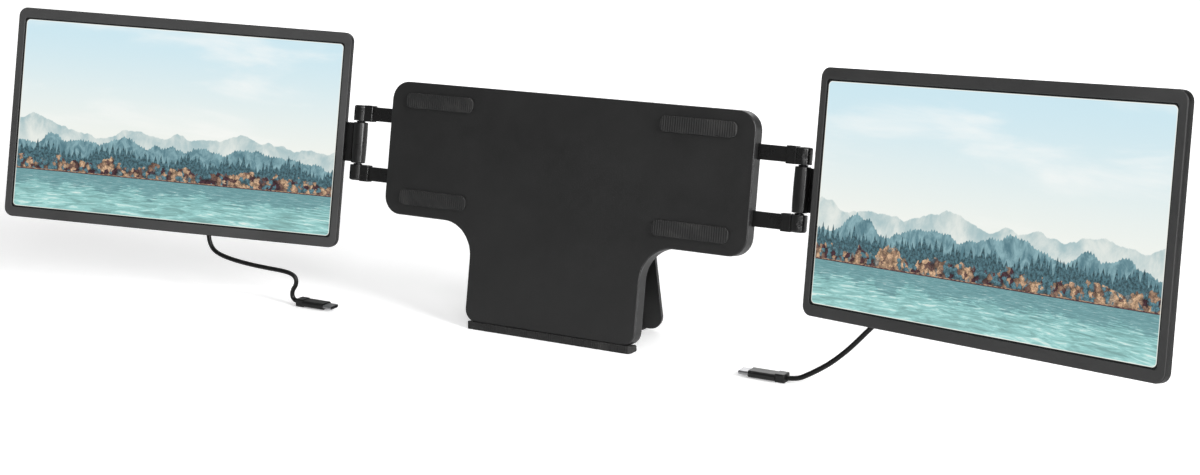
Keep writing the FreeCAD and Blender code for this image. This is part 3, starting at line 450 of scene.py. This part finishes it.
    deep = maths(tree, "MULTIPLY", maths(tree, "SUBTRACT", SHORE, up), 1 / SHORE, clamp=True)
    spread = maths(tree, "DIVIDE", 1.0, maths(tree, "ADD", deep, 0.22))
    wave_spot = place(tree, "ShaderNodeCombineXYZ", {
        "X": maths(tree, "MULTIPLY", maths(tree, "MULTIPLY", across, spread), 5.5),
        "Y": maths(tree, "MULTIPLY", spread, 7.5), "Z": given["Along"]}).outputs[0]
    waves = noise(tree, wave_spot, 1.6, 7.0, 0.66, 0.5)
    water = mixed(tree, stepped(tree, deep, 0.0, 0.8), given["water far"], given["water near"])
    shine = stepped(tree, waves, 0.30, 0.70, 0.62, 1.34)
    water = scaled(tree, water, shine)
    water = mixed(tree, stepped(tree, waves, 0.54, 0.72, 0.0, 0.7), water, given["sky low"])
    mirrored_up = maths(tree, "MULTIPLY_ADD", maths(tree, "SUBTRACT", waves, 0.5), 0.16,
                        maths(tree, "SUBTRACT", 2 * SHORE, up))
    mirrored = stepped(tree, maths(tree, "SUBTRACT", low_wood, mirrored_up), -0.006, 0.012, 0.0, 0.42)
    water = mixed(tree, mirrored, water, given["near hills"])
    picture = mixed(tree, stepped(tree, up, SHORE + 0.0015, SHORE - 0.0015), picture, water)
    tree.links.new(picture, out["Color"])
    return tree


MAKE_GROUP = {"Grain": grain_group, "Edge wear": wear_group, "Dust": dust_group, "Brushed": brushed_group,
              "Lakeside": lakeside_group}


# Materials, one for each finish in the record

def new_material(name):
    material = bpy.data.materials.new(name + "_finish")
    material.use_nodes = True
    tree = material.node_tree
    return material, tree, tree.nodes["Principled BSDF"]


def raise_bumps(tree, surface, height, distance):
    """Gives a surface fine relief, as deep as distance."""
    bump = place(tree, "ShaderNodeBump", {"Height": height, "Distance": distance, "Strength": 1.0})
    tree.links.new(bump.outputs["Normal"], surface.inputs["Normal"])


def coat(name, tint, roughness, grain=1500.0, depth=0.00004, pits=0.4, wear=0.25, worn=(0.10, 0.10, 0.10),
         metallic=0.0, dust=0.2, specular=0.5, wear_width=0.0006, side=None, shaded_side_tint=None):
    """Paint or plastic: grain, slow tone changes, rubbed edges, smears and a little dust.

    With a side, tint covers only the front face of that screen, and the rest takes the much darker side
    tint: painted shade on the walls."""
    material, tree, surface = new_material(name)
    grains = use_group(tree, "Grain", Scale=grain, Pits=pits)
    worn_edge = use_group(tree, "Edge wear", Width=wear_width, Amount=wear)["Wear"]
    dirt = use_group(tree, "Dust", Amount=dust)
    if side:
        # Painted shade: every face except the screen's front face takes the darker side tint.
        front = stepped(tree, screen_axes(tree, side)["Y"], 0.0003 - FACE_BEFORE_DISPLAY,
                        0.0001 - FACE_BEFORE_DISPLAY)
        tint = mixed(tree, front, shaded_side_tint, tint)
    base = mixed(tree, worn_edge, scaled(tree, tint, grains["Tone"]), worn)
    base = mixed(tree, maths(tree, "MULTIPLY", dirt["Dust"], 0.35), base, DUST)
    tree.links.new(base, surface.inputs["Base Color"])
    rough = maths(tree, "MULTIPLY_ADD", grains["Patch"], 0.07, roughness - 0.035)
    rough = maths(tree, "MULTIPLY_ADD", dirt["Smear"], -0.18, rough)
    rough = maths(tree, "MULTIPLY_ADD", dirt["Dust"], 0.3, rough, clamp=True)
    tree.links.new(rough, surface.inputs["Roughness"])
    raise_bumps(tree, surface, grains["Height"], depth)
    surface.inputs["Metallic"].default_value = metallic
    surface.inputs["Specular IOR Level"].default_value = specular
    return material


def metal(name, tint, roughness, scale=900.0, depth=0.00002):
    """Bare metal with brush lines and a few dull patches."""
    material, tree, surface = new_material(name)
    lines = use_group(tree, "Brushed", Scale=scale)
    dirt = use_group(tree, "Dust", Amount=0.5)
    toned = scaled(tree, tint, lines["Tone"])
    tree.links.new(mixed(tree, maths(tree, "MULTIPLY", dirt["Smear"], 0.4), toned, TARNISH),
                   surface.inputs["Base Color"])
    rough = maths(tree, "MULTIPLY_ADD", lines["Height"], 0.2, roughness - 0.1)
    tree.links.new(maths(tree, "MULTIPLY_ADD", dirt["Smear"], 0.2, rough), surface.inputs["Roughness"])
    raise_bumps(tree, surface, lines["Height"], depth)
    surface.inputs["Metallic"].default_value = 1.0
    return material


def rubber(name, tint, rib=0.0016):
    """Soft rubber with fine moulded ribs and a chalky bloom."""
    material, tree, surface = new_material(name)
    grains = use_group(tree, "Grain", Scale=1400.0, Pits=0.2)
    dirt = use_group(tree, "Dust", Amount=0.7)
    wave = place(tree, "ShaderNodeTexWave", {"Vector": object_place(tree), "Scale": 1 / (rib * 3.1832),
                                             "Distortion": 0.0}, bands_direction="X").outputs["Fac"]
    bloom = maths(tree, "MULTIPLY_ADD", dirt["Smear"], 0.10, maths(tree, "MULTIPLY", dirt["Dust"], 0.3))
    tree.links.new(mixed(tree, bloom, scaled(tree, tint, grains["Tone"]), BLOOM),
                   surface.inputs["Base Color"])
    tree.links.new(maths(tree, "MULTIPLY_ADD", grains["Patch"], 0.12, 0.62), surface.inputs["Roughness"])
    height = maths(tree, "MULTIPLY_ADD", wave, 1.0, maths(tree, "MULTIPLY", grains["Height"], 0.25))
    raise_bumps(tree, surface, height, 0.00018)
    return material


def screen_axes(tree, side):
    """X, Y and Z from the centre of one display, in its own directions: Y goes in, away from the viewer."""
    turn = screen_frame(SIDES[side])
    centre = turn @ (Vector((SIDES[side], 1, 1)) * DISPLAY_CENTRE)
    local = place(tree, "ShaderNodeMapping", {"Vector": object_place(tree), "Location": centre,
                                              "Rotation": turn.to_euler()}, vector_type="TEXTURE")
    return place(tree, "ShaderNodeSeparateXYZ", {0: local.outputs[0]}).outputs


def display_material(side):
    """Lit display: the lakeside picture inside a black rim with a painted highlight line at the rim's inner
    edge, behind a fine anti-glare surface.
    """
    looks = settings().displays
    material, tree, surface = new_material(side + "_display")
    axes = screen_axes(tree, side)
    colours = {name: (*getattr(looks, name), 1.0) for name in PICTURE_COLOURS}
    across = maths(tree, "DIVIDE", axes["X"], WINDOW[1])
    up = maths(tree, "MULTIPLY_ADD", axes["Z"], 1 / WINDOW[1], 0.5)
    picture = use_group(tree, "Lakeside", Across=across, Up=up, Along=3.1 * SIDES[side] + 6.0,
                        **colours)["Color"]
    beyond = [maths(tree, "MAXIMUM", 0.0, maths(tree, "SUBTRACT", maths(tree, "ABSOLUTE", axes[axis]),
                                                span / 2 - looks.black_rim - looks.corner))
              for axis, span in (("X", WINDOW[0]), ("Z", WINDOW[1]))]
    reach = maths(tree, "SQRT", maths(tree, "ADD", maths(tree, "POWER", beyond[0], 2.0),
                                      maths(tree, "POWER", beyond[1], 2.0)))
    # Painted highlight: a thin line of low-sky colour glows just inside the black rim and stands for the
    # glass edge catching light.
    painted_rim_highlight = stepped(tree, reach, looks.corner - looks.rim_highlight_width,
                   looks.corner - looks.rim_highlight_width / 2, 0.0, 0.8)
    picture = mixed(tree, painted_rim_highlight, picture, looks.sky_low)
    lit = stepped(tree, reach, looks.corner + 0.00004, looks.corner - 0.00004)
    tree.links.new(mixed(tree, lit, (0.0, 0.0, 0.0), picture), surface.inputs["Emission Color"])
    surface.inputs["Emission Strength"].default_value = looks.brightness
    grains = use_group(tree, "Grain", Scale=2500.0, Pits=0.0)
    dirt = use_group(tree, "Dust", Amount=0.5)
    tree.links.new(mixed(tree, dirt["Smear"], (0.006, 0.006, 0.007), (0.010, 0.010, 0.011)),
                   surface.inputs["Base Color"])
    tree.links.new(maths(tree, "MULTIPLY_ADD", dirt["Smear"], 0.08, 0.22), surface.inputs["Roughness"])
    raise_bumps(tree, surface, grains["Height"], 0.000004)
    return material


def cable_jacket(name):
    """Smooth cable sleeve with faint rings from its extrusion."""
    material, tree, surface = new_material(name)
    grains = use_group(tree, "Grain", Scale=900.0, Pits=0.1)
    dirt = use_group(tree, "Dust", Amount=0.35)
    toned = scaled(tree, settings().cables.jacket, grains["Tone"])
    tree.links.new(mixed(tree, maths(tree, "MULTIPLY", dirt["Dust"], 0.3), toned, CABLE_DUST),
                   surface.inputs["Base Color"])
    tree.links.new(maths(tree, "MULTIPLY_ADD", grains["Patch"], 0.10, 0.27), surface.inputs["Roughness"])
    surface.inputs["Specular IOR Level"].default_value = 0.3
    raise_bumps(tree, surface, grains["Height"], 0.00002)
    return material


def finish_for(slot):
    """The material of one of the record's finishes, made when it is first asked for."""
    found = bpy.data.materials.get(slot + "_finish")
    if found:
        return found
    given = settings()
    if slot == "bezel_plastic":
        return coat(slot, given.screens.bezel_side, 0.44, grain=1500.0, depth=0.00003, wear=0.10,
                    specular=0.3)
    if slot in ("left_bezel", "right_bezel"):
        # The bezels' front faces keep the bezel tint, and their walls take the painted shade of the side
        # tint.
        return coat(slot, given.screens.bezel, 0.44, grain=1500.0, depth=0.00003, wear=0.10, specular=0.2,
                    side=slot.split("_")[0], shaded_side_tint=given.screens.bezel_side)
    if slot == "cover_plastic":
        return coat(slot, given.screens.cover, 0.50, grain=1100.0, depth=0.00008, pits=0.7, wear=0.12,
                    specular=0.2)
    if slot == "key_plastic":
        return coat(slot, given.screens.key, 0.30, grain=2200.0, depth=0.00001, wear=0.35, dust=0.4)
    if slot == "hinge_coat":
        return coat(slot, given.hinges.coat, 0.30, grain=700.0, depth=0.00002, pits=0.1, wear=0.35,
                    worn=(0.10, 0.10, 0.10), wear_width=0.0003, dust=0.25, specular=0.55)
    if slot == "panel_coat":
        return coat(slot, given.bracket.panel, 0.38, grain=1700.0, depth=0.00004, pits=0.5, wear=0.4,
                    worn=(0.24, 0.24, 0.25))
    if slot == "shell_coat":
        return coat(slot, given.bracket.shell, 0.42, grain=1500.0, depth=0.00005, pits=0.5, wear=0.4,
                    worn=(0.24, 0.24, 0.25))
    if slot == "stand_coat":
        return coat(slot, given.bracket.stand, 0.40, grain=1300.0, depth=0.00006, pits=0.6, wear=0.5,
                    worn=(0.26, 0.26, 0.27))
    if slot == "screw_black":
        return coat(slot, (0.006, 0.006, 0.006), 0.33, grain=2500.0, depth=0.00001, wear=0.8,
                    worn=(0.22, 0.22, 0.22), wear_width=0.0002, dust=0.4)
    if slot == "plug_plastic":
        return coat(slot, (0.006, 0.006, 0.006), 0.34, grain=1800.0, depth=0.00003, wear=0.2,
                    wear_width=0.0003, specular=0.35)
    if slot == "slide_plastic":
        return coat(slot, (0.62, 0.60, 0.55), 0.42, grain=900.0, depth=0.00002, wear=0.0)
    if slot == "guide_acrylic":
        return coat(slot, (0.80, 0.82, 0.83), 0.18, grain=1200.0, depth=0.00001, wear=0.0)
    if slot == "board_laminate":
        return coat(slot, (0.012, 0.075, 0.035), 0.34, grain=1000.0, depth=0.00003, wear=0.3,
                    worn=(0.4, 0.3, 0.12))
    if slot == "soft_rubber":
        return rubber(slot, given.bracket.rubber)
    if slot == "cord_jacket":
        return cable_jacket(slot)
    if slot == "chassis_alloy":
        return metal(slot, (0.60, 0.60, 0.62), 0.42)
    if slot in ("pin_steel", "socket_steel", "carriage_steel"):
        return metal(slot, given.hinges.steel, 0.32, scale=1400.0)
    raise ValueError("no finish is written for the slot " + slot)


# Meshes

def screen_frame(sign):
    """From the hinge axis of the right (1) or left (-1) screen to the whole object's frame."""
    moved = Matrix.Translation((sign * HINGE.x, HINGE.y, HINGE.z))
    return Matrix.Rotation(-LEAN, 4, "X") @ moved @ Matrix.Rotation(-sign * TOE_IN, 4, "Z")


def select_only(piece):
    bpy.ops.object.select_all(action="DESELECT")
    piece.select_set(True)
    bpy.context.view_layer.objects.active = piece


def settle(piece, body, slot, material=None):
    """Gives a finished piece its material, which is the finish of its slot unless another is given, and its
    body.
    """
    piece.data.materials.clear()
    piece.data.materials.append(material or finish_for(slot))
    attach(piece, body)
    return piece


def refine(node, soften=0.0, segments=2, material=None):
    """Copies a CAD node's mesh, merges and smooths it, rounds its sharp edges, and stands for the node."""
    piece = bpy.data.objects.new(node + "_finished", frame["nodes"][node].data.copy())
    bpy.context.scene.collection.objects.link(piece)
    select_only(piece)
    bpy.ops.mesh.customdata_custom_splitnormals_clear()
    bpy.ops.object.mode_set(mode="EDIT")
    bpy.ops.mesh.select_all(action="SELECT")
    bpy.ops.mesh.remove_doubles(threshold=MERGE)
    bpy.ops.mesh.dissolve_limited(angle_limit=FLAT)
    bpy.ops.object.mode_set(mode="OBJECT")
    if soften:
        rounding = piece.modifiers.new("Soft edges", "BEVEL")
        rounding.limit_method = "ANGLE"
        rounding.angle_limit = BEVEL_FROM
        rounding.width = soften
        rounding.segments = segments
        bpy.ops.object.modifier_apply(modifier=rounding.name)
    bpy.ops.object.shade_smooth_by_angle(angle=SMOOTH)
    flatten = piece.modifiers.new("Flat faces stay flat", "WEIGHTED_NORMAL")
    flatten.keep_sharp = True
    flatten.weight = 80
    bpy.ops.object.modifier_apply(modifier=flatten.name)
    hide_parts(node)
    return settle(piece, BODY_OF[node], SLOT_OF[node], material)


def repaint(node):
    """Gives a CAD node that keeps its own mesh the finish of its slot."""
    piece = frame["nodes"][node]
    for spot in piece.material_slots:
        spot.material = finish_for(SLOT_OF[node])


def both(*names):
    return [side + "_" + name for name in names for side in SIDES]


class EXTENDER_OT_set_camera(bpy.types.Operator):
    """Set the camera at the chosen view"""
    bl_idname = "extender.set_camera"
    bl_label = "Set the camera"
    bl_options = {"REGISTER", "UNDO"}

    def execute(self, context):
        view = settings().view
        spot = (view.distance * math.sin(view.turn), -view.distance * math.cos(view.turn), view.height)
        turned = (Matrix.Rotation(view.azimuth, 4, "Z")
                  @ Matrix.Rotation(math.pi / 2 - view.elevation, 4, "X")
                  @ Matrix.Rotation(view.roll, 4, "Z"))
        bpy.ops.object.select_all(action="DESELECT")
        bpy.ops.object.camera_add(location=spot, rotation=turned.to_euler())
        camera = context.object
        camera.name = "camera"
        camera.data.lens = view.lens
        camera.data.sensor_width = SENSOR_WIDTH
        camera.data.shift_x, camera.data.shift_y = CAMERA_SHIFT
        context.scene.camera = camera
        return {"FINISHED"}


class EXTENDER_OT_lay_cables(bpy.types.Operator):
    """Lay the two cables from the screens to the table, with their plugs"""
    bl_idname = "extender.lay_cables"
    bl_label = "Cables and plugs"
    bl_options = {"REGISTER", "UNDO"}

    def execute(self, context):
        looks = settings().cables
        for side, route in ROUTES.items():
            data = bpy.data.curves.new(side + "_cable_line", "CURVE")
            data.dimensions = "3D"
            data.bevel_depth = looks.diameter / 2
            data.bevel_resolution = 7
            data.resolution_u = 20
            data.use_fill_caps = True
            line = data.splines.new("NURBS")
            line.points.add(len(route) - 1)
            for point, spot in zip(line.points, route):
                point.co = (*spot, 1.0)
            line.order_u = 3
            line.use_endpoint_u = True
            cable = bpy.data.objects.new(side + "_cable_line", data)
            context.scene.collection.objects.link(cable)
            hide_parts(side + "_cable")
            settle(cable, side + "_screen", "cord_jacket")
            plugs = [refine(side + "_screen_plug", PANEL_EDGE), refine(side + "_laptop_plug", PLASTIC_EDGE),
                     refine(side + "_plug_shells", SHELL_EDGE)]
        return {"FINISHED"}


class EXTENDER_OT_light_displays(bpy.types.Operator):
    """Finish the two lit displays, each with the thin lip round its window"""
    bl_idname = "extender.light_displays"
    bl_label = "Displays"
    bl_options = {"REGISTER", "UNDO"}

    def execute(self, context):
        looks = settings().screens
        for side, sign in SIDES.items():
            refine(side + "_lcd_cell", material=display_material(side))
            bpy.ops.object.select_all(action="DESELECT")
            bpy.ops.mesh.primitive_plane_add(size=1, location=(0, 0, 0))
            lip = context.object
            lip.name = side + "_display_lip"
            bpy.ops.object.mode_set(mode="EDIT")
            bpy.ops.transform.resize(value=(WINDOW[0] - 2 * LIP_GAP, WINDOW[1] - 2 * LIP_GAP, 1))
            bpy.ops.transform.rotate(value=-math.pi / 2, orient_axis="X", center_override=(0, 0, 0))
            bpy.ops.mesh.bevel(offset=WINDOW_CORNER, offset_type="OFFSET", segments=6, affect="VERTICES")
            bpy.ops.mesh.select_all(action="SELECT")
            bpy.ops.mesh.inset(thickness=looks.gasket_width, depth=0)
            bpy.ops.mesh.delete(type="FACE")
            bpy.ops.mesh.select_all(action="SELECT")
            bpy.ops.mesh.extrude_region_move(TRANSFORM_OT_translate={"value": (0, -looks.gasket_depth, 0)})
            bpy.ops.mesh.select_all(action="SELECT")
            bpy.ops.mesh.normals_make_consistent(inside=False)
            bpy.ops.object.mode_set(mode="OBJECT")
            rounding = lip.modifiers.new("Round lip", "BEVEL")
            rounding.width = looks.gasket_depth / 3
            rounding.segments = 2
            bpy.ops.object.modifier_apply(modifier=rounding.name)
            centre = Matrix.Translation(Vector((sign, 1, 1)) * DISPLAY_CENTRE)
            lip.data.transform(screen_frame(sign) @ centre)
            bpy.ops.object.shade_smooth_by_angle(angle=SMOOTH)
            settle(lip, side + "_screen", "bezel_plastic")
        return {"FINISHED"}


class EXTENDER_OT_finish_bezels(bpy.types.Operator):
    """Finish the frames round the displays"""
    bl_idname = "extender.finish_bezels"
    bl_label = "Bezels"
    bl_options = {"REGISTER", "UNDO"}

    def execute(self, context):
        for side in SIDES:
            refine(side + "_front_bezel", PLASTIC_EDGE, material=finish_for(side + "_bezel"))
        return {"FINISHED"}


class EXTENDER_OT_finish_covers(bpy.types.Operator):
    """Finish the rear covers with their keys, screws and sockets"""
    bl_idname = "extender.finish_covers"
    bl_label = "Rear covers and keys"
    bl_options = {"REGISTER", "UNDO"}

    def execute(self, context):
        for node in both("back_cover"):
            refine(node, PLASTIC_EDGE)
        for node in both("power_key", "menu_rocker"):
            refine(node, KEY_EDGE)
        for node in both("port_sockets", "cover_screws"):
            refine(node, SCREW_EDGE)
        return {"FINISHED"}


class EXTENDER_OT_finish_hinges(bpy.types.Operator):
    """Finish the hinges: rolled leaves, arms, pins, washers and grub screws"""
    bl_idname = "extender.finish_hinges"
    bl_label = "Hinges and arms"
    bl_options = {"REGISTER", "UNDO"}

    def execute(self, context):
        for node in both("hinge_leaf", "upper_arm", "lower_arm"):
            refine(node, METAL_EDGE)
        dark = metal("dark_steel", settings().hinges.dark_steel, 0.40, scale=1400.0)
        for node in both("hinge_pin", "hinge_washers"):
            refine(node, PIN_EDGE, material=dark)
        for node in both("grub_screws"):
            refine(node, PIN_EDGE)
        return {"FINISHED"}


class EXTENDER_OT_finish_bracket(bpy.types.Operator):
    """Finish the bracket: front panel, rear shell and screws"""
    bl_idname = "extender.finish_bracket"
    bl_label = "Bracket"
    bl_options = {"REGISTER", "UNDO"}

    def execute(self, context):
        for node in ("front_panel", "back_shell"):
            refine(node, PANEL_EDGE)
        refine("shell_screws", SCREW_EDGE)
        return {"FINISHED"}


class EXTENDER_OT_fit_pads(bpy.types.Operator):
    """Fit the soft pads and the foot strip"""
    bl_idname = "extender.fit_pads"
    bl_label = "Pads and foot strip"
    bl_options = {"REGISTER", "UNDO"}

    def execute(self, context):
        refine("grip_pads", KEY_EDGE)
        refine("foot_strip", STRIP_EDGE)
        return {"FINISHED"}


class EXTENDER_OT_finish_kickstand(bpy.types.Operator):
    """Finish the kickstand with its foot and hinge pins"""
    bl_idname = "extender.finish_kickstand"
    bl_label = "Kickstand"
    bl_options = {"REGISTER", "UNDO"}

    def execute(self, context):
        refine("kickstand", METAL_EDGE)
        refine("kickstand_foot", METAL_EDGE)
        refine("kickstand_pins", KEY_EDGE)
        return {"FINISHED"}


class EXTENDER_OT_paint_inner_parts(bpy.types.Operator):
    """Give every CAD node that still shows its own mesh the finish of its slot"""
    bl_idname = "extender.paint_inner_parts"
    bl_label = "Inner parts"
    bl_options = {"REGISTER", "UNDO"}

    def execute(self, context):
        for node, piece in frame["nodes"].items():
            if not piece.hide_render:
                repaint(node)
        return {"FINISHED"}


class EXTENDER_OT_build_stage(bpy.types.Operator):
    """Build the pale floor, the soft lamps and the white surroundings"""
    bl_idname = "extender.build_stage"
    bl_label = "Floor and light"
    bl_options = {"REGISTER", "UNDO"}

    def execute(self, context):
        looks = settings().stage
        bpy.ops.object.select_all(action="DESELECT")
        bpy.ops.mesh.primitive_plane_add(size=FLOOR_SIZE, location=(0, 0, 0))
        floor = context.object
        floor.name = "floor"
        floor.data.materials.append(self.floor_material(looks))
        for name, spot, size, power in LAMPS:
            turned = (LAMP_AIM - Vector(spot)).to_track_quat("-Z", "Y").to_euler()
            bpy.ops.object.light_add(type="AREA", location=spot, rotation=turned)
            lamp = context.object
            lamp.name = name
            lamp.data.shape = "RECTANGLE"
            lamp.data.size, lamp.data.size_y = size
            lamp.data.energy = getattr(looks, power)
        context.scene.world = self.surroundings(looks)
        context.scene.view_settings.view_transform = "Standard"
        return {"FINISHED"}

    def seen_directly(self, tree):
        """1 for the rays that come from the camera."""
        return place(tree, "ShaderNodeLightPath").outputs["Is Camera Ray"]

    def floor_material(self, looks):
        """Pale table that shows white, and keeps the shadows."""
        material, tree, surface = new_material("floor")
        grains = use_group(tree, "Grain", Scale=500.0, Pits=0.2)
        toned = scaled(tree, looks.floor, stepped(tree, grains["Patch"], 0.0, 1.0, 0.99, 1.0))
        tree.links.new(toned, surface.inputs["Base Color"])
        surface.inputs["Roughness"].default_value = 0.75
        surface.inputs["Specular IOR Level"].default_value = 0.2
        away = place(tree, "ShaderNodeVectorMath", {0: object_place(tree)}, operation="LENGTH").outputs
        lift = stepped(tree, away["Value"], 0.35, 1.6, 0.36, 0.80)
        tree.links.new(maths(tree, "MULTIPLY", self.seen_directly(tree), lift),
                       surface.inputs["Emission Strength"])
        surface.inputs["Emission Color"].default_value = (1, 1, 1, 1)
        return material

    def surroundings(self, looks):
        world = bpy.data.worlds.new("surroundings")
        world.use_nodes = True
        tree = world.node_tree
        strength = maths(tree, "MULTIPLY_ADD", self.seen_directly(tree), 1 - looks.ambient, looks.ambient)
        background = tree.nodes["Background"]
        background.inputs["Color"].default_value = (1, 1, 1, 1)
        tree.links.new(strength, background.inputs["Strength"])
        return world


OPERATORS = (
    EXTENDER_OT_set_camera, EXTENDER_OT_lay_cables, EXTENDER_OT_light_displays, EXTENDER_OT_finish_bezels,
    EXTENDER_OT_finish_covers, EXTENDER_OT_finish_hinges, EXTENDER_OT_finish_bracket, EXTENDER_OT_fit_pads,
    EXTENDER_OT_finish_kickstand, EXTENDER_OT_paint_inner_parts, EXTENDER_OT_build_stage,
)


class EXTENDER_PT_panel(bpy.types.Panel):
    """Settings and steps of the screen extender"""
    bl_idname = "EXTENDER_PT_panel"
    bl_label = "Screen extender"
    bl_space_type = "VIEW_3D"
    bl_region_type = "UI"
    bl_category = "Extender"

    def draw(self, context):
        given = settings()
        for name in GROUPS:
            box = self.layout.box()
            box.label(text=ExtenderSettings.bl_rna.properties[name].name)
            part = getattr(given, name)
            for key in part.bl_rna.properties.keys():
                if key not in ("rna_type", "name"):
                    box.prop(part, key)
        for operator in OPERATORS:
            self.layout.operator(operator.bl_idname)


CLASSES = (*GROUPS.values(), ExtenderSettings, *OPERATORS, EXTENDER_PT_panel)


def register():
    for item in CLASSES:
        bpy.utils.register_class(item)
    bpy.types.Scene.screen_extender = PointerProperty(type=ExtenderSettings, name="Screen extender",
                                                      description="Sizes and colours of the screen extender")


def unregister():
    del bpy.types.Scene.screen_extender
    for item in reversed(CLASSES):
        bpy.utils.unregister_class(item)


def main():
    register()
    for operator in OPERATORS:
        group, name = operator.bl_idname.split(".")
        getattr(getattr(bpy.ops, group), name)()


if __name__ == "__main__":
    main()
